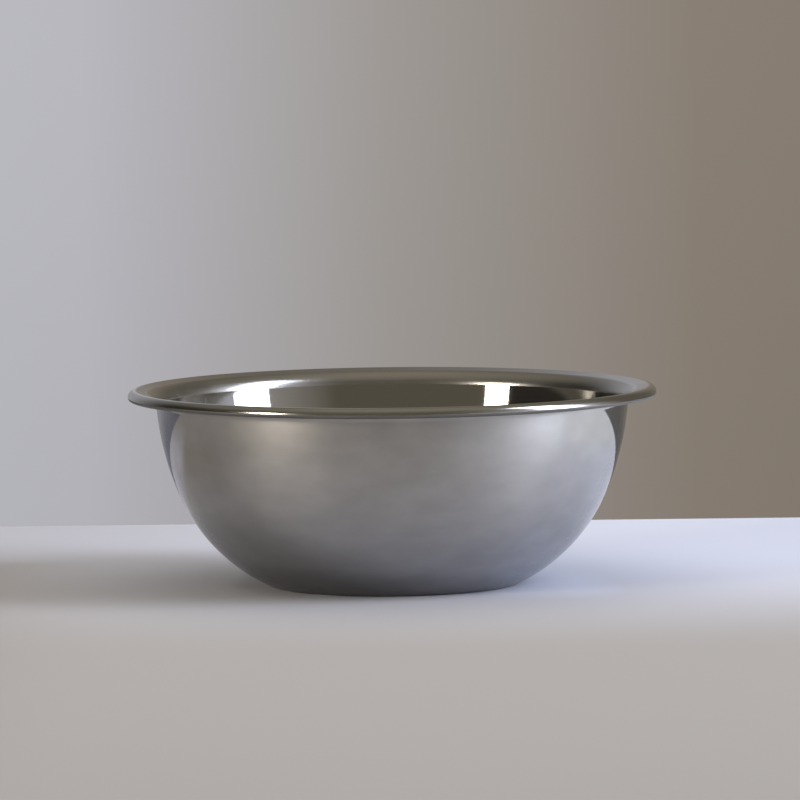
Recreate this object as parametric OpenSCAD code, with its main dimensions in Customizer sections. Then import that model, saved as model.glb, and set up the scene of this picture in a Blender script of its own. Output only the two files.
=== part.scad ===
// Mixing bowl pressed from one sheet of stainless steel, with a flared lip and a rolled rim.
// Millimetres, +Z up, origin at the middle of the foot, on the table.

/* [Bowl] */
// Diameter over the rolled rim
rim_d = 270; // [240:1:300]
// Height from the table to the crest of the rim
bowl_h = 100.7; // [90:0.1:112]
// Thickness of the steel sheet
sheet = 0.8; // [0.6:0.1:1.2]

/* [Foot] */
// Diameter of the foot, on which the bowl stands, as a share of the diameter of the rim
foot_share = 0.463; // [0.42:0.001:0.52]
// Width of the flat ring of the foot
foot_w = 9; // [6:0.5:14]
// Outer radius of the corner from the foot into the wall
foot_corner_r = 6; // [3:0.5:9]
// Height that the bottom is pressed up inside the foot
base_rise = 0.8; // [0.4:0.1:1.6]
// Width of the slope from the foot up to the raised bottom
base_slope_w = 3.5; // [2:0.5:6]

/* [Wall] */
// Slope of the wall where it leaves the corner of the foot, in degrees
wall_foot_angle = 25.7; // [18:0.1:34]
// Slope where the lower curve of the wall passes into the flatter upper one, in degrees
wall_turn_angle = 66.6; // [58:0.1:72]
// Slope of the wall under the lip, in degrees
wall_top_angle = 85.5; // [82:0.1:88]

/* [Lip] */
// Width of the straight lip, along its slope, from the bend to the crest
lip_w = 5.2; // [4:0.1:7]
// Radius under the bend from the wall into the lip
lip_bend_r = 7; // [5:0.1:8]
// Slope of the lip, in degrees
lip_angle = 14; // [6:0.5:22]

/* [Rim] */
// Outer radius that turns the edge down at the crest of the rim
crest_r = 3.5; // [2.8:0.1:4.4]
// Radius inside the tight curl under the rim
curl_in_r = 0.9; // [0.5:0.1:1.2]
// Gap between the tucked end of the sheet and the sheet above it
seam_gap = 0.3; // [0.2:0.1:0.6]

/* [Hidden] */

// Facets of a full circle, in a section and round the axis
section_facets = 360;
turn_facets = 240;
// Widest step, in degrees, between the corners of the wedge that cuts an arc
wedge_step = 60;

rim_r = rim_d / 2;
foot_r = rim_r * foot_share;
foot_in_r = foot_r - foot_w;
panel_r = foot_in_r - base_slope_w;
curl_r = curl_in_r + sheet;

// A section is drawn with the radius along X and the height along Y.
// A slope of a degrees has this direction, and this normal on its upper side.
function along(a) = [cos(a), sin(a)];
function above(a) = [-sin(a), cos(a)];

// Centres of the two bends that make the rolled rim
crest_c = [rim_r - crest_r, bowl_h - crest_r];
curl_c = [rim_r - curl_r, crest_c.y];

// The top of the lip is the line that touches the crest, and the bend of the lip touches the same line
lip_end = crest_c + crest_r * above(lip_angle);
lip_start = lip_end - lip_w * along(lip_angle);
bend_c = lip_start - (lip_bend_r + sheet) * above(lip_angle);

// The outside of the wall runs from the corner of the foot to the bend of the lip
corner_c = [foot_r, foot_corner_r];
wall_start = corner_c - foot_corner_r * above(wall_foot_angle);
wall_end = bend_c + lip_bend_r * above(wall_top_angle);

// Two arcs that touch fill that span: lower_r * lower_span + upper_r * upper_span = wall_span
wall_span = wall_end - wall_start;
lower_span = above(wall_foot_angle) - above(wall_turn_angle);
upper_span = above(wall_turn_angle) - above(wall_top_angle);
span_det = cross(lower_span, upper_span);
lower_r = cross(wall_span, upper_span) / span_det;
upper_r = cross(lower_span, wall_span) / span_det;
lower_c = wall_start + lower_r * above(wall_foot_angle);
upper_c = wall_end + upper_r * above(wall_top_angle);
// The lower arc is one piece up to this slope, and another from there on
wall_mid_angle = (wall_foot_angle + wall_turn_angle) / 2;

// The tucked end of the sheet rises inside the roll to just under the crest
tuck_x = rim_r - 2 * curl_r;
tuck_out_x = tuck_x + sheet;
tuck_top = crest_c.y + sqrt(pow(crest_r - sheet, 2) - pow(tuck_out_x - crest_c.x, 2)) - seam_gap;

// Wedge with its point at c, from one polar angle to another, out past the radius r
module wedge(c, r, from, to) {
    steps = ceil((to - from) / wedge_step);
    polygon(concat([c], [for (i = [0 : steps]) c + 2 * r * along(from + (to - from) * i / steps)]));
}

// Sheet bent round c with the radius in_r inside the bend, between two polar angles
module bent_sheet(c, in_r, from, to) {
    intersection() {
        translate(c) difference() {
            circle(r = in_r + sheet, $fn = section_facets);
            circle(r = in_r, $fn = section_facets);
        }
        wedge(c, in_r + sheet, from, to);
    }
}

module steel_turn() {
    color("#b4b5b3") rotate_extrude($fn = turn_facets) children();
}

// Round bottom, pressed up a little inside the foot
module base_panel() {
    outline = [
        [0, base_rise],
        [panel_r, base_rise],
        [foot_in_r, 0],
        [foot_in_r, sheet],
        [panel_r, base_rise + sheet],
        [0, base_rise + sheet]
    ];
    steel_turn() polygon(outline);
}

// Flat ring that the bowl stands on, with the rounded corner outside it
module foot_ring() {
    steel_turn() {
        translate([foot_in_r, 0]) square([foot_w, sheet]);
        bent_sheet(corner_c, foot_corner_r - sheet, -90, wall_foot_angle - 90);
    }
}

// Lower half of the round part of the drawn wall
module lower_wall() {
    steel_turn() bent_sheet(lower_c, lower_r - sheet, wall_foot_angle - 90, wall_mid_angle - 90);
}

// Upper half of the round part
module middle_wall() {
    steel_turn() bent_sheet(lower_c, lower_r - sheet, wall_mid_angle - 90, wall_turn_angle - 90);
}

// Flatter and steeper upper part of the drawn wall
module upper_wall() {
    steel_turn() bent_sheet(upper_c, upper_r - sheet, wall_turn_angle - 90, wall_top_angle - 90);
}

// Bend at the top of the wall that turns the sheet outward
module lip_bend() {
    steel_turn() bent_sheet(bend_c, lip_bend_r, lip_angle + 90, wall_top_angle + 90);
}

// Straight sloping lip from the bend to the crest of the rim
module lip() {
    under = sheet * above(lip_angle);
    steel_turn() polygon([lip_start, lip_start - under, lip_end - under, lip_end]);
}

// Edge turned down at the crest, curled under, and tucked up inside the roll
module rolled_rim() {
    steel_turn() {
        bent_sheet(crest_c, crest_r - sheet, 0, lip_angle + 90);
        bent_sheet(curl_c, curl_in_r, -180, 0);
        translate([tuck_x, curl_c.y]) square([sheet, tuck_top - curl_c.y]);
    }
}

base_panel();
foot_ring();
lower_wall();
middle_wall();
upper_wall();
lip_bend();
lip();
rolled_rim();
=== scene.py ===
"""Stainless steel mixing bowl: turned surfaces over its solids, steel finishes, a stage and a camera."""

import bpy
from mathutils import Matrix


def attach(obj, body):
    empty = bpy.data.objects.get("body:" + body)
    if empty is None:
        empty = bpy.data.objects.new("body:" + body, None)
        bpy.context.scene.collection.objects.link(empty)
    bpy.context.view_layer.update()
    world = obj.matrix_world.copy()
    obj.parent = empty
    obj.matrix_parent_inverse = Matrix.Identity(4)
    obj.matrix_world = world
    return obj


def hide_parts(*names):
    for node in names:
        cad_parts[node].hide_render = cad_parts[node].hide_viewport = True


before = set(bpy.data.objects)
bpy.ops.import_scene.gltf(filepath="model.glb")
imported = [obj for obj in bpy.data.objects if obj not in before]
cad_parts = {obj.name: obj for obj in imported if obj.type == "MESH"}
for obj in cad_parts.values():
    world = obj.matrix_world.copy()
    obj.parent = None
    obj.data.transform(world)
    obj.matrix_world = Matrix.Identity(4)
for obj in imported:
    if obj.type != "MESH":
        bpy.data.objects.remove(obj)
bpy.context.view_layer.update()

import math

import bpy
import numpy as np
from mathutils import Quaternion, Vector

bl_info = {
    "name": "Stainless Steel Mixing Bowl",
    "version": (1, 0, 0),
    "blender": (4, 5, 0),
    "location": "3D View > Sidebar > Bowl",
    "description": "A pressed steel mixing bowl with a rolled rim, its steel finishes and a soft-lit table",
    "category": "Add Mesh",
}

# Faces round the axis, and the widest turn between two points of an arc of the section: in the wall, in the
# bend of the lip, in the other bends that show, and inside the roll
TURNS = 512
WALL_STEP = math.radians(0.6)
LIP_STEP = math.radians(2)
BEND_STEP = math.radians(4)
HIDDEN_STEP = math.radians(12)

QUARTER = math.pi / 2


def linear(hex_colour):
    """Linear red, green and blue of an sRGB colour written as hex."""
    srgb = [int(hex_colour[i:i + 2], 16) / 255 for i in (1, 3, 5)]
    return tuple(c / 12.92 if c <= 0.04045 else ((c + 0.055) / 1.055) ** 2.4 for c in srgb)


# Sizes and colours that a user would change


def length(name, description, default):
    """A size in metres, shown in the scene's own unit."""
    return bpy.props.FloatProperty(
        name=name, description=description, default=default, min=0, precision=4,
        subtype="DISTANCE", unit="LENGTH",
    )


def angle(name, description, default):
    """An angle, given here in degrees."""
    return bpy.props.FloatProperty(
        name=name, description=description, default=math.radians(default), subtype="ANGLE", unit="ROTATION"
    )


def colour(name, description, default):
    """A colour, given here as sRGB hex."""
    return bpy.props.FloatVectorProperty(
        name=name, description=description, default=linear(default), size=3, min=0, max=1, subtype="COLOR"
    )


def share(name, description, default, top=1.0):
    """A plain number from zero to top."""
    return bpy.props.FloatProperty(name=name, description=description, default=default, min=0, max=top)


def power(name, description, default):
    """Power of a lamp in watts."""
    return bpy.props.FloatProperty(
        name=name, description=description, default=default, min=0, subtype="POWER", unit="POWER"
    )


class BowlSizes(bpy.types.PropertyGroup):
    """The driving sizes of the bowl, as its solids have them"""

    rim_d: length("Rim diameter", "Diameter over the rolled rim", 0.270)
    bowl_h: length("Height", "From the table to the crest of the rim", 0.1007)
    sheet: length("Sheet", "Thickness of the steel sheet", 0.0008)
    foot_share: share("Foot share", "Diameter of the foot as a share of the rim's", 0.463)
    foot_w: length("Foot width", "Width of the flat ring of the foot", 0.009)
    foot_corner_r: length("Foot corner", "Outer radius of the corner from the foot into the wall", 0.006)
    base_rise: length("Bottom rise", "Height that the bottom is pressed up inside the foot", 0.0008)
    base_slope_w: length("Bottom slope", "Width of the slope from the foot up to the raised bottom", 0.0035)
    wall_foot_angle: angle("Slope at the foot", "Slope of the wall where it leaves the foot", 25.7)
    wall_turn_angle: angle("Slope at the turn", "Slope where the lower curve meets the flatter one", 66.6)
    wall_top_angle: angle("Slope under the lip", "Slope of the wall under the lip", 85.5)
    lip_w: length("Lip width", "Width of the straight lip, along its slope, from bend to crest", 0.0052)
    lip_bend_r: length("Lip bend", "Radius under the bend from the wall into the lip", 0.007)
    lip_angle: angle("Lip slope", "Slope of the lip", 14)
    crest_r: length("Crest radius", "Outer radius that turns the edge down at the crest", 0.0035)
    curl_in_r: length("Curl radius", "Radius inside the tight curl under the rim", 0.0009)
    seam_gap: length("Seam gap", "Gap between the tucked end of the sheet and the sheet above it", 0.0003)


class BowlFinish(bpy.types.PropertyGroup):
    """Colour and polish of the steel"""

    satin_steel: colour("Satin steel", "Colour of the satin outside where no smear dulls it", "#c7c6c5")
    steel: colour("Polished steel", "Colour of the polished steel", "#cdccc9")
    # Darker colour that paints shade under the roll and on the foot where it meets the table
    steel_with_painted_shade: colour("Raw steel", "Colour of the unpolished steel under the roll and on the foot", "#8e8d8a")
    satin: share("Satin roughness", "Roughness of the satin outside", 0.44)
    sheen: share("Satin sheen", "Share of a clear reflection in the satin outside, seen at a low angle", 0.72)
    stretch: share("Satin stretch", "How much more a reflection blurs across the grain than along it", 0.45)
    mirror: share("Mirror roughness", "Roughness of the polished inside", 0.045)
    lip: share("Lip roughness", "Roughness of the fine satin lip", 0.24)
    roll: share("Roll roughness", "Roughness of the buffed roll", 0.15)


class BowlStage(bpy.types.PropertyGroup):
    """Table, room and lamps"""

    # The back and right table colours below are painted light from the side lamp: paler and bluer than the
    # front
    cloth_front: colour("Table, front", "Colour of the table in front of the bowl", "#999694")
    # Darker colour that paints the bowl's shadow on the table at the far left
    cloth_far_painted_shadow: colour("Table, far left", "Colour of the table furthest from the side lamp", "#85817c")
    cloth_back_left_painted_light: colour("Table, back left", "Colour of the table behind the bowl, on the left", "#acafbc")
    cloth_back_right_painted_light: colour("Table, back right", "Colour of the table behind the bowl, on the right", "#cfd8ef")
    cloth_painted_lamp_light: colour("Table, right", "Colour of the table at the far right, below the side lamp", "#eff7ff")
    wall_left: colour("Room, left", "Colour of the room's wall on the left", "#bdbdc6")
    wall_side: colour("Room, side", "Colour of the room's wall further left, beside the view", "#9f9ea2")
    wall_middle: colour("Room, middle", "Colour of the room's wall behind the bowl", "#9c9793")
    wall_right: colour("Room, right", "Colour of the room's wall on the right", "#867c71")
    room_front: colour("Room, front", "Colour of the dim side of the room that the steel mirrors", "#625d51")
    room_dark: colour("Room, dark", "Colour of the darkest corner of the room, on the left", "#312e2a")
    low_left: colour("Room, low left", "Colour of the room below the table's height, left", "#6a6c7c")
    low_right: colour("Room, low right", "Colour of the room below the table's height, right", "#3c3a33")
    upper_walls: colour("Upper walls", "Colour of the room's walls above the windows", "#5f5b52")
    ceiling: colour("Ceiling", "Colour of the room overhead", "#8e8778")
    side_lamp: power("Side lamp", "Large soft lamp on the right", 94)
    side_fill: power("Side fill", "The part of the side lamp's light that the steel doesn't mirror", 24)
    front_lamp: power("Front lamp", "Soft lamp at the front left", 32)
    top_lamp: power("Top lamp", "Broad soft lamp overhead, which the steel doesn't mirror", 24)


# Section of the sheet, with the distance from the axis first and the height second


def along(a):
    """Direction of a slope."""
    return np.array([math.cos(a), math.sin(a)])


def above(a):
    """Normal on the upper side of a slope."""
    return np.array([-math.sin(a), math.cos(a)])


def cross(a, b):
    """Cross product of two plane vectors."""
    return a[0] * b[1] - a[1] * b[0]


def section(s):
    """Centres, radii and ends of the section's lines and arcs, worked out as the solids' source does.

    The top of the lip touches the crest's arc and the lip bend's arc. Two arcs that touch fill the wall from
    the corner of the foot to the lip bend, and their radii times the changes of their normals add up to it.
    """
    g = {"rim_r": s.rim_d / 2}
    g["foot_r"] = g["rim_r"] * s.foot_share
    g["foot_in_r"] = g["foot_r"] - s.foot_w
    g["panel_r"] = g["foot_in_r"] - s.base_slope_w
    g["curl_r"] = s.curl_in_r + s.sheet
    g["crest_c"] = np.array([g["rim_r"] - s.crest_r, s.bowl_h - s.crest_r])
    g["curl_c"] = np.array([g["rim_r"] - g["curl_r"], g["crest_c"][1]])
    g["lip_end"] = g["crest_c"] + s.crest_r * above(s.lip_angle)
    g["lip_start"] = g["lip_end"] - s.lip_w * along(s.lip_angle)
    g["bend_c"] = g["lip_start"] - (s.lip_bend_r + s.sheet) * above(s.lip_angle)
    g["corner_c"] = np.array([g["foot_r"], s.foot_corner_r])
    wall_start = g["corner_c"] - s.foot_corner_r * above(s.wall_foot_angle)
    wall_end = g["bend_c"] + s.lip_bend_r * above(s.wall_top_angle)
    span = wall_end - wall_start
    lower = above(s.wall_foot_angle) - above(s.wall_turn_angle)
    upper = above(s.wall_turn_angle) - above(s.wall_top_angle)
    g["lower_r"] = cross(span, upper) / cross(lower, upper)
    g["upper_r"] = cross(lower, span) / cross(lower, upper)
    g["lower_c"] = wall_start + g["lower_r"] * above(s.wall_foot_angle)
    g["upper_c"] = wall_end + g["upper_r"] * above(s.wall_top_angle)
    g["wall_mid_angle"] = (s.wall_foot_angle + s.wall_turn_angle) / 2
    g["tuck_x"] = g["rim_r"] - 2 * g["curl_r"]
    g["tuck_out_x"] = g["tuck_x"] + s.sheet
    under_crest = math.sqrt((s.crest_r - s.sheet) ** 2 - (g["tuck_out_x"] - g["crest_c"][0]) ** 2)
    g["tuck_top"] = g["crest_c"][1] + under_crest - s.seam_gap
    return g


def arc(centre, radius, start, stop, step, finish):
    """Run of section points at equal angles round a centre.

    The normal is the radius pointing away from the centre where the angle grows, and towards it where it
    shrinks, so that it is always on the right of the way of travel.
    """
    angles = np.linspace(start, stop, max(2, math.ceil(abs(stop - start) / step) + 1))
    rays = np.stack([np.cos(angles), np.sin(angles)], 1)
    return centre + radius * rays, math.copysign(1, stop - start) * rays, finish


def line(start, stop, finish, parts=1):
    """Run of section points at equal steps on a line, with the normal on the right of the way of travel."""
    start, stop = np.array(start), np.array(stop)
    way = (stop - start) / np.linalg.norm(stop - start)
    points = start + np.linspace(0, 1, parts + 1)[:, None] * (stop - start)
    return points, np.tile([way[1], -way[0]], (parts + 1, 1)), finish


def swell(inner_r, outer_r, low, rise, finish, back=False, parts=24):
    """Run of section points over a soft slope.

    The height is low plus rise times 3u^2 - 2u^3, where u goes from 1 at inner_r to 0 at outer_r, so the
    slope starts and ends level. The normal is square to the height's own slope, on the right of the way of
    travel.
    """
    u = np.linspace(1, 0, parts + 1)
    r = outer_r + (inner_r - outer_r) * u
    points = np.stack([r, low + rise * u * u * (3 - 2 * u)], 1)
    slope = rise * 6 * u * (1 - u) / (inner_r - outer_r)
    normals = np.stack([slope, -np.ones_like(u)], 1) / np.hypot(slope, 1)[:, None]
    return (points[::-1], -normals[::-1], finish) if back else (points, normals, finish)


def bent_sheet(centre, inner_r, thick, start, stop, step, outer_finish, inner_finish):
    """Closed section of a sheet bent round a centre: outer arc, end, inner arc back, end."""
    outer = arc(centre, inner_r + thick, start, stop, step, outer_finish)
    inner = arc(centre, inner_r, stop, start, step, inner_finish)
    stop_end = line(outer[0][-1], inner[0][0], inner_finish)
    start_end = line(inner[0][-1], outer[0][0], inner_finish)
    return [outer, stop_end, inner, start_end]


def turned(name, runs, materials):
    """Mesh object of a section turned about the Z axis.

    A section point at distance r and height z goes to (r cos t, r sin t, z) for evenly spaced angles t, and
    its normal turns with it. Each run keeps its own normals, so edges between runs that don't touch smoothly
    stay sharp, and a point on the axis becomes one pole.
    """
    starts = [np.asarray(points[:-1]) for points, _, _ in runs]
    rings = np.concatenate(starts)
    closed = np.allclose(runs[-1][0][-1], runs[0][0][0])
    if not closed:
        rings = np.concatenate([rings, [runs[-1][0][-1]]])
    low = np.arange(sum(map(len, starts)))
    high = (low + 1) % len(rings)
    low_normals = np.concatenate([n[:-1] for _, n, _ in runs])
    high_normals = np.concatenate([n[1:] for _, n, _ in runs])
    finish = np.concatenate([np.full(len(p), f) for p, (_, _, f) in zip(starts, runs)])

    t = np.arange(TURNS) * 2 * math.pi / TURNS
    after = (np.arange(TURNS) + 1) % TURNS
    turn = np.stack([np.cos(t), np.sin(t)], 1)
    on_axis = np.isclose(rings[:, 0], 0)
    count = np.where(on_axis, 1, TURNS)
    first = np.concatenate([[0], np.cumsum(count)[:-1]])
    places = [
        np.array([[0.0, 0.0, z]]) if pole else np.column_stack([r * turn, np.full(TURNS, z)])
        for (r, z), pole in zip(rings, on_axis)
    ]
    index = np.where(on_axis[:, None], first[:, None], first[:, None] + np.arange(TURNS))

    def spun(n):
        """Normals of the section, each turned to every angle t."""
        up = np.broadcast_to(n[:, 1:], (len(n), TURNS))
        return np.stack([n[:, :1] * turn[:, 0], n[:, :1] * turn[:, 1], up], 2)

    a, b = index[low], index[high]
    na, nb = spun(low_normals), spun(high_normals)
    corners = np.stack([a, a[:, after], b[:, after], b], 2)
    normals = np.stack([na, na[:, after], nb[:, after], nb], 2)
    keep = np.ones(corners.shape, bool)
    keep[on_axis[low], :, 1] = False
    keep[on_axis[high], :, 2] = False
    totals = keep.sum(2).reshape(-1)

    mesh = bpy.data.meshes.new(name)
    vertices = np.concatenate(places)
    mesh.vertices.add(len(vertices))
    mesh.vertices.foreach_set("co", vertices.astype(np.float32).ravel())
    mesh.loops.add(int(totals.sum()))
    mesh.loops.foreach_set("vertex_index", corners[keep].astype(np.int32))
    mesh.polygons.add(len(totals))
    mesh.polygons.foreach_set("loop_start", np.concatenate([[0], np.cumsum(totals)[:-1]]).astype(np.int32))
    mesh.polygons.foreach_set("material_index", np.repeat(finish, TURNS).astype(np.int32))
    mesh.polygons.foreach_set("use_smooth", np.ones(len(totals), bool))
    mesh.update(calc_edges=True)
    mesh.normals_split_custom_set(normals[keep].astype(np.float32))
    mesh.validate()
    for material in materials:
        mesh.materials.append(material)
    piece = bpy.data.objects.new(name, mesh)
    bpy.context.scene.collection.objects.link(piece)
    return piece


# Materials

# One millimetre in metres
MM = 0.001
# A noise keeps mostly between these two values
NOISE_RANGE = (0.3, 0.7)


def in_use(sockets, name):
    """The socket of that name that the node's settings leave in use."""
    return next(socket for socket in sockets if socket.enabled and socket.name == name)


def add_node(tree, kind, settings=None, inputs=None):
    """Add a node, set its properties, and give its sockets values or link them to other nodes' outputs.

    A socket goes by its name, or by its number where several in use share one name.
    """
    node = tree.nodes.new(kind)
    for name, value in (settings or {}).items():
        setattr(node, name, value)
    for key, value in (inputs or {}).items():
        socket = in_use(node.inputs, key) if isinstance(key, str) else node.inputs[key]
        if isinstance(value, bpy.types.NodeSocket):
            tree.links.new(value, socket)
        else:
            socket.default_value = value
    return node


def new_material(name):
    """Named material with an empty tree, or the one that an earlier piece made."""
    old = bpy.data.materials.get(name)
    if old:
        return old, None
    made = bpy.data.materials.new(name)
    made.use_nodes = True
    made.node_tree.nodes.clear()
    return made, made.node_tree


def grain(tree, gap, run, detail=3):
    """Noise drawn out round the axis, like the lines that a polishing wheel leaves.

    The distance from the axis plus the height grows all along the section, so it is the noise's third
    coordinate: the lines are gap metres apart along the section and about run metres long round it. Real
    lines are under 0.1 mm apart. The finishes draw them 0.6 to 1.1 mm apart, so that they show in a render.
    """
    spot = add_node(tree, "ShaderNodeTexCoord")
    xyz = add_node(tree, "ShaderNodeSeparateXYZ", inputs={"Vector": spot.outputs["Object"]})
    level = {axis: xyz.outputs[axis] for axis in "XY"}
    flat = add_node(tree, "ShaderNodeCombineXYZ", inputs=level)
    reach = add_node(tree, "ShaderNodeVectorMath", {"operation": "LENGTH"}, {0: flat.outputs[0]})
    terms = {0: reach.outputs["Value"], 1: xyz.outputs["Z"]}
    path = add_node(tree, "ShaderNodeMath", {"operation": "ADD"}, terms)
    lines = add_node(tree, "ShaderNodeCombineXYZ", inputs=level | {"Z": path.outputs[0]})
    drawn = {"Vector": lines.outputs[0], "Scale": (1 / run, 1 / run, 1 / gap)}
    laid = add_node(tree, "ShaderNodeMapping", inputs=drawn)
    pattern = {"Vector": laid.outputs[0], "Scale": 1, "Detail": detail}
    return add_node(tree, "ShaderNodeTexNoise", inputs=pattern).outputs["Fac"]


def patches(tree, size, detail=2):
    """Noise in soft patches about size metres wide."""
    spot = add_node(tree, "ShaderNodeTexCoord")
    pattern = {"Vector": spot.outputs["Object"], "Scale": 1 / size, "Detail": detail}
    return add_node(tree, "ShaderNodeTexNoise", inputs=pattern).outputs["Fac"]


def spread(tree, noise, low, high):
    """A noise spread over the range from low to high."""
    start, stop = NOISE_RANGE
    limits = {"Value": noise, "From Min": start, "From Max": stop, "To Min": low, "To Max": high}
    return add_node(tree, "ShaderNodeMapRange", inputs=limits).outputs["Result"]


def uneven(tree, cloud, low, high, lines, more):
    """Roughness that goes from low to high with a soft noise, and a little up or down with the grain."""
    terms = {0: spread(tree, cloud, low, high), 1: spread(tree, lines, -more, more)}
    return add_node(tree, "ShaderNodeMath", {"operation": "ADD"}, terms).outputs[0]


def fade(tree, value, edge, before, after, curve="LINEAR"):
    """Colour that turns from one into another while a value goes over an edge, given by its start and end."""
    limits = {"Value": value, "From Min": edge[0], "From Max": edge[1]}
    rise = add_node(tree, "ShaderNodeMapRange", {"interpolation_type": curve}, limits)
    inputs = {"Factor": rise.outputs["Result"]}
    for name, tint in (("A", before), ("B", after)):
        inputs[name] = tint if isinstance(tint, bpy.types.NodeSocket) else (*tint, 1)
    mix = add_node(tree, "ShaderNodeMix", {"data_type": "RGBA"}, inputs)
    return in_use(mix.outputs, "Result")


def dulled(tree, tint, amount, marks=None):
    """Steel colour that is darker by the given share in soft patches, or where the given noise is high."""
    dark = [part * (1 - amount) for part in tint]
    return fade(tree, marks or patches(tree, 45 * MM), NOISE_RANGE, tint, dark)


def bare_steel(tree, tint, roughness, height, depth, stretch=0.0):
    """Shader of bare steel with a given roughness and a relief of the given depth in metres.

    With a stretch, reflections are drawn out across the lines that run round the axis.
    """
    relief = add_node(tree, "ShaderNodeBump", inputs={"Strength": 1, "Distance": depth, "Height": height})
    inputs = {"Base Color": tint, "Metallic": 1, "Roughness": roughness, "Normal": relief.outputs[0]}
    if stretch:
        round_axis = add_node(tree, "ShaderNodeTangent", {"direction_type": "RADIAL", "axis": "Z"})
        inputs |= {"Anisotropic": stretch, "Anisotropic Rotation": 0.25, "Tangent": round_axis.outputs[0]}
    return add_node(tree, "ShaderNodeBsdfPrincipled", inputs=inputs).outputs[0]


def finished(tree, shader):
    """Send a shader to the material's surface."""
    add_node(tree, "ShaderNodeOutputMaterial", inputs={"Surface": shader})


def satin_spun_steel(f):
    """Satin outside: a soft, cloudy image of the table, drawn out upward and clear near the outline."""
    made, tree = new_material("satin_spun_steel")
    if tree:
        lines = grain(tree, gap=0.9 * MM, run=35 * MM)
        # Smears from wiping run round the bowl, about 13 mm apart
        smears = grain(tree, gap=13 * MM, run=20 * MM, detail=4)
        tint = dulled(tree, f.satin_steel, amount=0.13, marks=smears)
        roughness = uneven(tree, patches(tree, 30 * MM), f.satin - 0.03, f.satin + 0.03, lines, 0.02)
        soft = bare_steel(tree, tint, roughness, lines, depth=0.0012 * MM, stretch=f.stretch)
        sharp = bare_steel(tree, tint, f.mirror, lines, depth=0.0004 * MM)
        # Facing is 0 where the steel faces the eye and 1 at the outline
        edge = add_node(tree, "ShaderNodeLayerWeight", inputs={"Blend": 0.5})
        limits = {"Value": edge.outputs["Facing"], "From Min": 0.22, "From Max": 0.46, "To Max": f.sheen}
        clear = add_node(tree, "ShaderNodeMapRange", {"interpolation_type": "SMOOTHSTEP"}, limits)
        shaders = {0: clear.outputs["Result"], 1: soft, 2: sharp}
        finished(tree, add_node(tree, "ShaderNodeMixShader", inputs=shaders).outputs[0])
    return made


def mirror_polished_steel(f):
    """Polished inside: crisp images, with faint rings from the wheel and a slight wave in the sheet."""
    made, tree = new_material("mirror_polished_steel")
    if tree:
        rings = grain(tree, gap=1.1 * MM, run=50 * MM)
        wave = patches(tree, 30 * MM, detail=0)
        roughness = uneven(tree, wave, f.mirror - 0.01, f.mirror + 0.01, rings, 0.01)
        terms = {0: wave, 1: spread(tree, rings, 0, 0.02)}
        height = add_node(tree, "ShaderNodeMath", {"operation": "ADD"}, terms).outputs[0]
        tint = dulled(tree, f.steel, amount=0.03)
        finished(tree, bare_steel(tree, tint, roughness, height, depth=0.01 * MM))
    return made


def fine_satin_steel(f):
    """Fine satin of the lip and of the bend below it, where the polish of the inside ends in a clear line."""
    made, tree = new_material("fine_satin_steel")
    if tree:
        lines = grain(tree, gap=0.8 * MM, run=25 * MM)
        roughness = uneven(tree, patches(tree, 20 * MM), f.lip - 0.02, f.lip + 0.02, lines, 0.02)
        tint = dulled(tree, f.steel, amount=0.05)
        finished(tree, bare_steel(tree, tint, roughness, lines, depth=0.001 * MM))
    return made


def buffed_steel(f):
    """Roll: buffed smoother than the lip, so that lamps show on it as soft-edged streaks."""
    made, tree = new_material("buffed_steel")
    if tree:
        lines = grain(tree, gap=0.7 * MM, run=20 * MM)
        roughness = uneven(tree, patches(tree, 20 * MM), f.roll, f.roll + 0.02, lines, 0.02)
        tint = dulled(tree, f.steel, amount=0.05)
        finished(tree, bare_steel(tree, tint, roughness, lines, depth=0.001 * MM))
    return made


def steel_with_painted_shade(f):
    """Dull steel under the roll and on the foot, with the soft streaks of a tool; its darker colour is
    painted shade under the roll and where the foot meets the table.
    """
    made, tree = new_material("steel_with_painted_shade")
    if tree:
        lines = grain(tree, gap=0.6 * MM, run=15 * MM)
        roughness = uneven(tree, patches(tree, 15 * MM), f.satin, f.satin + 0.1, lines, 0.03)
        tint = dulled(tree, f.steel_with_painted_shade, amount=0.15)
        finished(tree, bare_steel(tree, tint, roughness, lines, depth=0.002 * MM))
    return made


# Number of each finish in the list of five, as the runs of a section give it
# The fifth finish paints shade: darker steel under the roll and on the foot
OUTSIDE, INSIDE, LIP, ROLL, PAINTED_SHADE = range(5)


def finishes(f):
    """The five finishes in the order of their numbers."""
    return [satin_spun_steel(f), mirror_polished_steel(f), fine_satin_steel(f), buffed_steel(f), steel_with_painted_shade(f)]


def place(name, runs, node):
    """Turn a section into a piece that rides on the bowl, stands for its solid and has its material slot."""
    used = sorted({run[2] for run in runs})
    made = finishes(bpy.context.scene.bowl_finish)
    runs = [(p, n, used.index(f)) for p, n, f in runs]
    piece = turned(name, runs, [made[f] for f in used])
    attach(piece, "root")
    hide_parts(node)


# Operators


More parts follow.
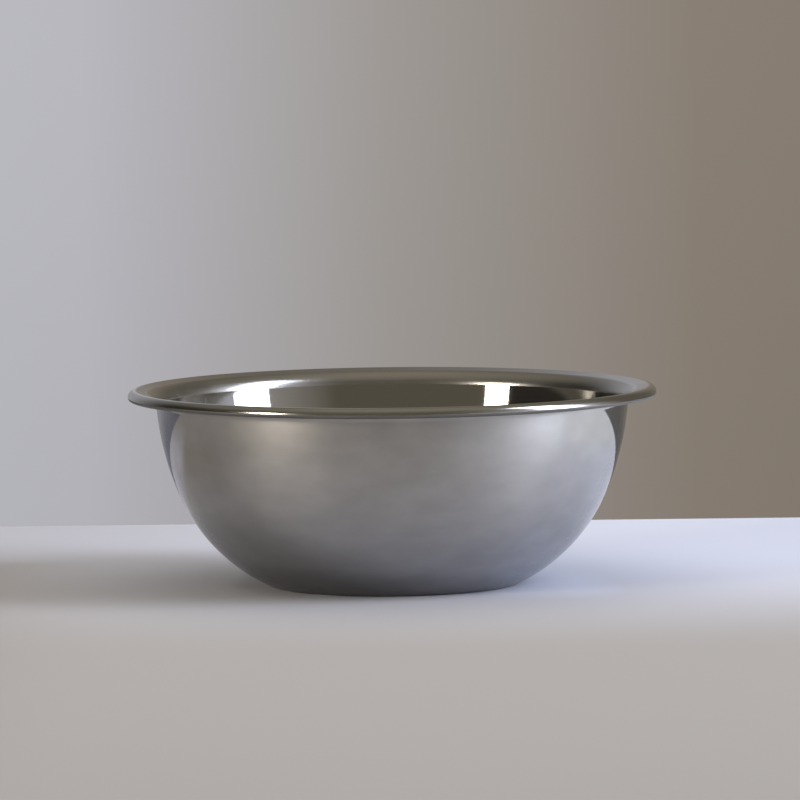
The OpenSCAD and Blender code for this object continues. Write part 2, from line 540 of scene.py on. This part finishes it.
class BOWL_OT_bottom(bpy.types.Operator):
    """Round bottom, pressed up a little inside the foot, and the foot with the corner into the wall"""

    bl_idname = "bowl.bottom"
    bl_label = "Bottom and foot"

    def execute(self, context):
        s = context.scene.bowl_sizes
        g = section(s)
        inner, outer = g["panel_r"], g["foot_in_r"]
        panel = [
            line([0, s.base_rise], [inner, s.base_rise], OUTSIDE, parts=12),
            swell(inner, outer, 0, s.base_rise, OUTSIDE),
            line([outer, 0], [outer, s.sheet], INSIDE),
            swell(inner, outer, s.sheet, s.base_rise, INSIDE, back=True),
            line([inner, s.base_rise + s.sheet], [0, s.base_rise + s.sheet], INSIDE, parts=12),
        ]
        place("bottom_panel", panel, "base_panel")

        corner, corner_r, stop = g["corner_c"], s.foot_corner_r, s.wall_foot_angle - QUARTER
        # The foot's underside takes the finish with painted shade
        under = arc(corner, corner_r, -QUARTER, stop, BEND_STEP, PAINTED_SHADE)
        over = arc(corner, corner_r - s.sheet, stop, -QUARTER, BEND_STEP, INSIDE)
        foot = [
            line([outer, 0], under[0][0], PAINTED_SHADE, parts=4),
            under,
            line(under[0][-1], over[0][0], INSIDE),
            over,
            line(over[0][-1], [outer, s.sheet], INSIDE, parts=4),
            line([outer, s.sheet], [outer, 0], INSIDE),
        ]
        place("standing_foot", foot, "foot_ring")
        return {"FINISHED"}


class BOWL_OT_wall(bpy.types.Operator):
    """Drawn wall in three lengths, satin outside and mirror-polished inside"""

    bl_idname = "bowl.wall"
    bl_label = "Wall"

    def execute(self, context):
        s = context.scene.bowl_sizes
        g = section(s)
        lengths = (
            ("wall_low", "lower_wall", "lower", s.wall_foot_angle, g["wall_mid_angle"]),
            ("wall_middle", "middle_wall", "lower", g["wall_mid_angle"], s.wall_turn_angle),
            ("wall_high", "upper_wall", "upper", s.wall_turn_angle, s.wall_top_angle),
        )
        for name, node, curve, start, stop in lengths:
            centre, radius = g[curve + "_c"], g[curve + "_r"]
            runs = bent_sheet(
                centre, radius - s.sheet, s.sheet, start - QUARTER, stop - QUARTER, WALL_STEP, OUTSIDE, INSIDE
            )
            place(name, runs, node)
        return {"FINISHED"}


class BOWL_OT_lip(bpy.types.Operator):
    """Bend at the top of the wall and the sloping lip outside it"""

    bl_idname = "bowl.lip"
    bl_label = "Lip"

    def execute(self, context):
        s = context.scene.bowl_sizes
        g = section(s)
        start, stop = s.lip_angle + QUARTER, s.wall_top_angle + QUARTER
        bend = bent_sheet(g["bend_c"], s.lip_bend_r, s.sheet, start, stop, LIP_STEP, LIP, OUTSIDE)
        place("lip_turn", bend, "lip_bend")

        under = s.sheet * above(s.lip_angle)
        low, high = g["lip_start"], g["lip_end"]
        slope = [
            line(high, low, LIP, parts=8),
            line(low, low - under, OUTSIDE),
            line(low - under, high - under, OUTSIDE, parts=8),
            line(high - under, high, OUTSIDE),
        ]
        place("lip_slope", slope, "lip")
        return {"FINISHED"}


class BOWL_OT_rim(bpy.types.Operator):
    """Edge turned down at the crest, curled under and tucked up inside the roll"""

    bl_idname = "bowl.rim"
    bl_label = "Rolled rim"

    def execute(self, context):
        s = context.scene.bowl_sizes
        g = section(s)
        crest, curl, stop = g["crest_c"], g["curl_c"], s.lip_angle + QUARTER
        inner_crest = arc(crest, s.crest_r - s.sheet, stop, 0, HIDDEN_STEP, PAINTED_SHADE)
        inner_curl = arc(curl, s.curl_in_r, 0, -math.pi, HIDDEN_STEP, PAINTED_SHADE)
        outer_crest = arc(crest, s.crest_r, 0, stop, BEND_STEP, ROLL)
        # Under the roll, the finish with painted shade darkens the sheet
        roll = [
            line([g["tuck_x"], g["tuck_top"]], [g["tuck_x"], curl[1]], PAINTED_SHADE),
            arc(curl, g["curl_r"], -math.pi, 0, BEND_STEP, PAINTED_SHADE),
            outer_crest,
            line(outer_crest[0][-1], inner_crest[0][0], PAINTED_SHADE),
            inner_crest,
            inner_curl,
            line([g["tuck_out_x"], curl[1]], [g["tuck_out_x"], g["tuck_top"]], PAINTED_SHADE),
            line([g["tuck_out_x"], g["tuck_top"]], [g["tuck_x"], g["tuck_top"]], PAINTED_SHADE),
        ]
        place("rim_roll", roll, "rolled_rim")
        return {"FINISHED"}


# Table, in metres: how far it reaches behind the bowl, in front of it and to each side
TABLE_BACK, TABLE_FRONT, TABLE_SIDE = 0.306, 1.2, 2.2

# Soft edges between the table's colours, each with its start and its end in metres: from the front colour to
# the back one, going away from the eye, and from the left back colour to the right one and to the lit one,
# going across to the right. The back colours and the lit one are painted light from the side lamp
BACK_EDGE = (-0.30, 0.12)
RIGHT_EDGE = (-0.25, 0.20)
LIT_EDGE = (0.22, 0.40)
# The back colour's painted light comes further forward close to the bowl's right side, where the side lamp
# stands; it stands for light that the steel throws onto the table there
BESIDE_LIGHT_START, BESIDE_LIGHT_STOP, BESIDE_LIGHT_AWAY = (0, 0.07), (0.09, 0.17), (-0.14, -0.03)
# The far left colour is the bowl's painted shadow from the side lamp; it ends over the far edge, which lies
# further left at the back, by the far turn
SHADOW_EDGE = (-0.30, -0.13)
SHADOW_AWAY, SHADOW_TURN = (0.10, 0.18), 0.18

# Colours of the room's walls by bearing, in degrees to the right from the way to the camera
ROOM_RING = (
    (-180, "wall_middle"), (-176.4, "wall_left"), (-173, "wall_side"), (-157, "wall_side"),
    (-118, "room_dark"), (-62, "room_dark"), (-45, "room_front"), (28, "room_front"),
    (62, "wall_middle"), (90, "wall_left"), (100, "wall_middle"), (118, "room_front"),
    (150, "room_front"), (177, "wall_right"), (180, "wall_middle"),
)
# Soft edges of the room by height, as the sine of the elevation: from its low part to the walls, from the
# walls' shaded foot to their full colour, from the walls to the upper ones, and from these to the ceiling
LOW_EDGE, SHADED_EDGE, UPPER_EDGE, CEILING_EDGE = (-0.18, -0.10), (-0.11, -0.01), (0.22, 0.7), (0.5, 1)
SHADED, FULL = 0.95, 1.03
# The room's low part turns from the left colour into the right one across here
LOW_ACROSS = (-0.3, 0.3)

# Lamps like tall windows: bearing of the middle from the camera's side, lower and upper elevation, width seen
# from the bowl, and distance in metres. The top lamp hangs over the bowl, at this height and this wide.
SIDE_LAMP = (math.radians(77), math.radians(3.5), math.radians(50), math.radians(22), 3.0)
FRONT_LAMP = (math.radians(-55.4), math.radians(5), math.radians(18), math.radians(13), 3.5)
TOP_UP, TOP_WIDE = 1.5, 2.4
SKY_TINT, SUN_TINT, TOP_TINT = "#e9eeff", "#fff4e4", "#fff8f0"

# Camera: its distance in front of the bowl's axis, its height, where it aims, its roll, lens and range
EYE_AWAY, EYE_UP = 3.1735, 0.3541
AIM = (0.0040, 0, 0.0938)
ROLL_ANGLE = math.radians(-0.6419)
SENSOR_MM, LENS_MM = 36, 280.38
NEAREST, FARTHEST = 0.1, 50


def cloth_with_painted_light(st):
    """Matt cotton with a faint sheen. Its colour holds painted light, pale and bluish at the back, at the
    right by the side lamp and close to the bowl's right side, and the bowl's painted shadow at the far left.
    """
    made, tree = new_material("cloth_with_painted_light")
    if tree:
        spot = add_node(tree, "ShaderNodeTexCoord")
        xyz = add_node(tree, "ShaderNodeSeparateXYZ", inputs={"Vector": spot.outputs["Object"]})
        across, away = xyz.outputs["X"], xyz.outputs["Y"]
        steps = []
        for value, edge, height in (
            (away, BACK_EDGE, 1), (across, BESIDE_LIGHT_START, 1), (across, BESIDE_LIGHT_STOP, -1),
            (away, BESIDE_LIGHT_AWAY, 1), (away, SHADOW_AWAY, SHADOW_TURN),
        ):
            limits = {"Value": value, "From Min": edge[0], "From Max": edge[1], "To Max": height}
            step = add_node(tree, "ShaderNodeMapRange", {"interpolation_type": "SMOOTHSTEP"}, limits)
            steps.append(step.outputs["Result"])
        back, starts, stops, near, turn = steps
        # Painted light beside the bowl's right side, where the steel throws light onto the table
        beside = add_node(tree, "ShaderNodeMath", {"operation": "ADD"}, {0: starts, 1: stops})
        forward = add_node(tree, "ShaderNodeMath", {"operation": "MULTIPLY"}, {0: beside.outputs[0], 1: near})
        pale = add_node(tree, "ShaderNodeMath", {"operation": "MAXIMUM"}, {0: forward.outputs[0], 1: back})
        far = add_node(tree, "ShaderNodeMath", {"operation": "ADD"}, {0: across, 1: turn})

        # Painted light: the table turns paler and bluer towards the back and the right, where the side lamp's
        # light falls
        behind = fade(tree, across, RIGHT_EDGE, st.cloth_back_left_painted_light, st.cloth_back_right_painted_light, "SMOOTHSTEP")
        cloth = fade(tree, pale.outputs[0], (0, 1), st.cloth_front, behind)
        cloth = fade(tree, across, LIT_EDGE, cloth, st.cloth_painted_lamp_light, "SMOOTHSTEP")
        # Painted shadow of the bowl at the far left, ending further left at the back
        cloth = fade(tree, far.outputs[0], SHADOW_EDGE, st.cloth_far_painted_shadow, cloth, "SMOOTHSTEP")
        look = {"Base Color": cloth, "Roughness": 0.9, "Sheen Weight": 0.3, "Sheen Roughness": 0.5}
        finished(tree, add_node(tree, "ShaderNodeBsdfPrincipled", inputs=look).outputs[0])
    return made


def cloth_table(st):
    """Flat table with its top at the bowl's foot."""
    corners = [
        (-TABLE_SIDE, -TABLE_FRONT, 0), (TABLE_SIDE, -TABLE_FRONT, 0),
        (TABLE_SIDE, TABLE_BACK, 0), (-TABLE_SIDE, TABLE_BACK, 0),
    ]
    mesh = bpy.data.meshes.new("table")
    mesh.from_pydata(corners, [], [(0, 1, 2, 3)])
    mesh.materials.append(cloth_with_painted_light(st))
    table = bpy.data.objects.new("table", mesh)
    bpy.context.scene.collection.objects.link(table)
    return table


def room_ring(tree, st, direction):
    """Colour of the room's walls in a direction, from a ramp that goes once round by bearing."""
    front = add_node(tree, "ShaderNodeMath", {"operation": "MULTIPLY"}, {0: direction.outputs["Y"], 1: -1})
    sides = {0: direction.outputs["X"], 1: front.outputs[0]}
    bearing = add_node(tree, "ShaderNodeMath", {"operation": "ARCTAN2"}, sides)
    limits = {"Value": bearing.outputs[0], "From Min": -math.pi, "From Max": math.pi}
    around = add_node(tree, "ShaderNodeMapRange", inputs=limits)
    ring = add_node(tree, "ShaderNodeValToRGB", inputs={"Fac": around.outputs["Result"]})
    elements = ring.color_ramp.elements
    while len(elements) < len(ROOM_RING):
        elements.new(0.5)
    for element, (degrees, name) in zip(elements, ROOM_RING):
        element.position = 0.5 + degrees / 360
        element.color = (*getattr(st, name), 1)
    return ring.outputs["Color"]


def room_world(st):
    """World of plain walls: colours by bearing, dim below the table's height, closed above by the ceiling."""
    world = bpy.data.worlds.new("room")
    world.use_nodes = True
    tree = world.node_tree
    tree.nodes.clear()
    way = add_node(tree, "ShaderNodeTexCoord")
    direction = add_node(tree, "ShaderNodeSeparateXYZ", inputs={"Vector": way.outputs["Generated"]})
    across, up = direction.outputs["X"], direction.outputs["Z"]
    start, stop = SHADED_EDGE
    limits = {"Value": up, "From Min": start, "From Max": stop, "To Min": SHADED, "To Max": FULL}
    shade = add_node(tree, "ShaderNodeMapRange", {"interpolation_type": "SMOOTHSTEP"}, limits)
    shaded = {"Vector": room_ring(tree, st, direction), "Scale": shade.outputs["Result"]}
    walls = add_node(tree, "ShaderNodeVectorMath", {"operation": "SCALE"}, shaded).outputs[0]
    low = fade(tree, across, LOW_ACROSS, st.low_left, st.low_right)
    lower = fade(tree, up, LOW_EDGE, low, walls, "SMOOTHSTEP")
    upper = fade(tree, up, CEILING_EDGE, st.upper_walls, st.ceiling)
    both = fade(tree, up, UPPER_EDGE, lower, upper, "SMOOTHSTEP")
    back = add_node(tree, "ShaderNodeBackground", inputs={"Color": both, "Strength": 1})
    add_node(tree, "ShaderNodeOutputWorld", inputs={"Surface": back.outputs[0]})
    return world


def area_lamp(name, spot, aim, size, watts, tint):
    """Rectangular lamp at a spot, facing a point."""
    data = bpy.data.lights.new(name, "AREA")
    data.shape = "RECTANGLE"
    data.size, data.size_y = size
    data.energy = watts
    data.color = linear(tint)
    lamp = bpy.data.objects.new(name, data)
    lamp.location = spot
    lamp.rotation_mode = "QUATERNION"
    lamp.rotation_quaternion = (Vector(aim) - Vector(spot)).to_track_quat("-Z", "Y")
    bpy.context.scene.collection.objects.link(lamp)
    return lamp


def window_lamp(name, bearing, low, high, wide, away, watts, tint):
    """Upright lamp that the bowl sees between two elevations, at a bearing from the camera's side.

    Its middle is away metres from the bowl's axis; its width and height follow from the angles that it fills.
    """
    ground = Vector((math.sin(bearing), -math.cos(bearing), 0)) * away
    bottom, top = away * math.tan(low), away * math.tan(high)
    middle = ground + Vector((0, 0, (bottom + top) / 2))
    size = (2 * away * math.tan(wide / 2), top - bottom)
    return area_lamp(name, middle, (0, 0, middle.z), size, watts, tint)


def mirrored_once(lamp):
    """Let a lamp show in the steel's first reflection only, so that later ones hold few stray images."""
    lamp.data.use_nodes = True
    tree = lamp.data.node_tree
    tree.nodes.clear()
    path = add_node(tree, "ShaderNodeLightPath")
    # Glossy Depth counts the mirror bounces so far, and 1.5 lies between the first and the second
    first = {0: path.outputs["Glossy Depth"], 1: 1.5}
    strength = add_node(tree, "ShaderNodeMath", {"operation": "LESS_THAN"}, first)
    glow = add_node(tree, "ShaderNodeEmission", inputs={"Strength": strength.outputs[0]})
    add_node(tree, "ShaderNodeOutputLight", inputs={"Surface": glow.outputs[0]})


def soft_lamps(st):
    """Two windows that the steel mirrors once, and two soft lamps that it doesn't mirror."""
    mirrored_once(window_lamp("side_lamp", *SIDE_LAMP, st.side_lamp, SKY_TINT))
    mirrored_once(window_lamp("front_lamp", *FRONT_LAMP, st.front_lamp, SUN_TINT))
    fill = window_lamp("side_fill", *SIDE_LAMP, st.side_fill, SKY_TINT)
    top = area_lamp("top_lamp", (0, 0, TOP_UP), (0, 0, 0), (TOP_WIDE, TOP_WIDE), st.top_lamp, TOP_TINT)
    fill.visible_glossy = top.visible_glossy = False


def photo_camera():
    """Camera at the photograph's viewing angle."""
    data = bpy.data.cameras.new("camera")
    data.sensor_width, data.lens = SENSOR_MM, LENS_MM
    data.clip_start, data.clip_end = NEAREST, FARTHEST
    camera = bpy.data.objects.new("camera", data)
    eye = Vector((0, -EYE_AWAY, EYE_UP))
    camera.location = eye
    camera.rotation_mode = "QUATERNION"
    gaze = (Vector(AIM) - eye).to_track_quat("-Z", "Y")
    camera.rotation_quaternion = gaze @ Quaternion((0, 0, 1), ROLL_ANGLE)
    bpy.context.scene.collection.objects.link(camera)
    return camera


class BOWL_OT_stage(bpy.types.Operator):
    """Pale table, the room's walls as the world, soft lamps and the camera"""

    bl_idname = "bowl.stage"
    bl_label = "Stage"

    def execute(self, context):
        st = context.scene.bowl_stage
        table = cloth_table(st)
        context.scene.world = room_world(st)
        soft_lamps(st)
        context.scene.camera = photo_camera()
        context.scene.view_settings.view_transform = "Standard"
        return {"FINISHED"}


class BOWL_PT_panel(bpy.types.Panel):
    """Sizes, finish and stage of the bowl, with a button for each group of pieces"""

    bl_idname = "BOWL_PT_panel"
    bl_label = "Mixing Bowl"
    bl_space_type = "VIEW_3D"
    bl_region_type = "UI"
    bl_category = "Bowl"

    def draw(self, context):
        scene = context.scene
        for group in (scene.bowl_sizes, scene.bowl_finish, scene.bowl_stage):
            box = self.layout.box()
            for name in type(group).__annotations__:
                box.prop(group, name)
        for operator in OPERATORS:
            self.layout.operator(operator.bl_idname)


GROUPS = {"bowl_sizes": BowlSizes, "bowl_finish": BowlFinish, "bowl_stage": BowlStage}
OPERATORS = (BOWL_OT_bottom, BOWL_OT_wall, BOWL_OT_lip, BOWL_OT_rim, BOWL_OT_stage)


def register():
    for cls in (*GROUPS.values(), *OPERATORS, BOWL_PT_panel):
        bpy.utils.register_class(cls)
    for name, group in GROUPS.items():
        setattr(bpy.types.Scene, name, bpy.props.PointerProperty(type=group))


def unregister():
    for name in GROUPS:
        delattr(bpy.types.Scene, name)
    for cls in (BOWL_PT_panel, *reversed(OPERATORS), *GROUPS.values()):
        bpy.utils.unregister_class(cls)


def main():
    """Make every piece and the stage."""
    register()
    bpy.ops.bowl.bottom()
    bpy.ops.bowl.wall()
    bpy.ops.bowl.lip()
    bpy.ops.bowl.rim()
    bpy.ops.bowl.stage()


if __name__ == "__main__":
    main()
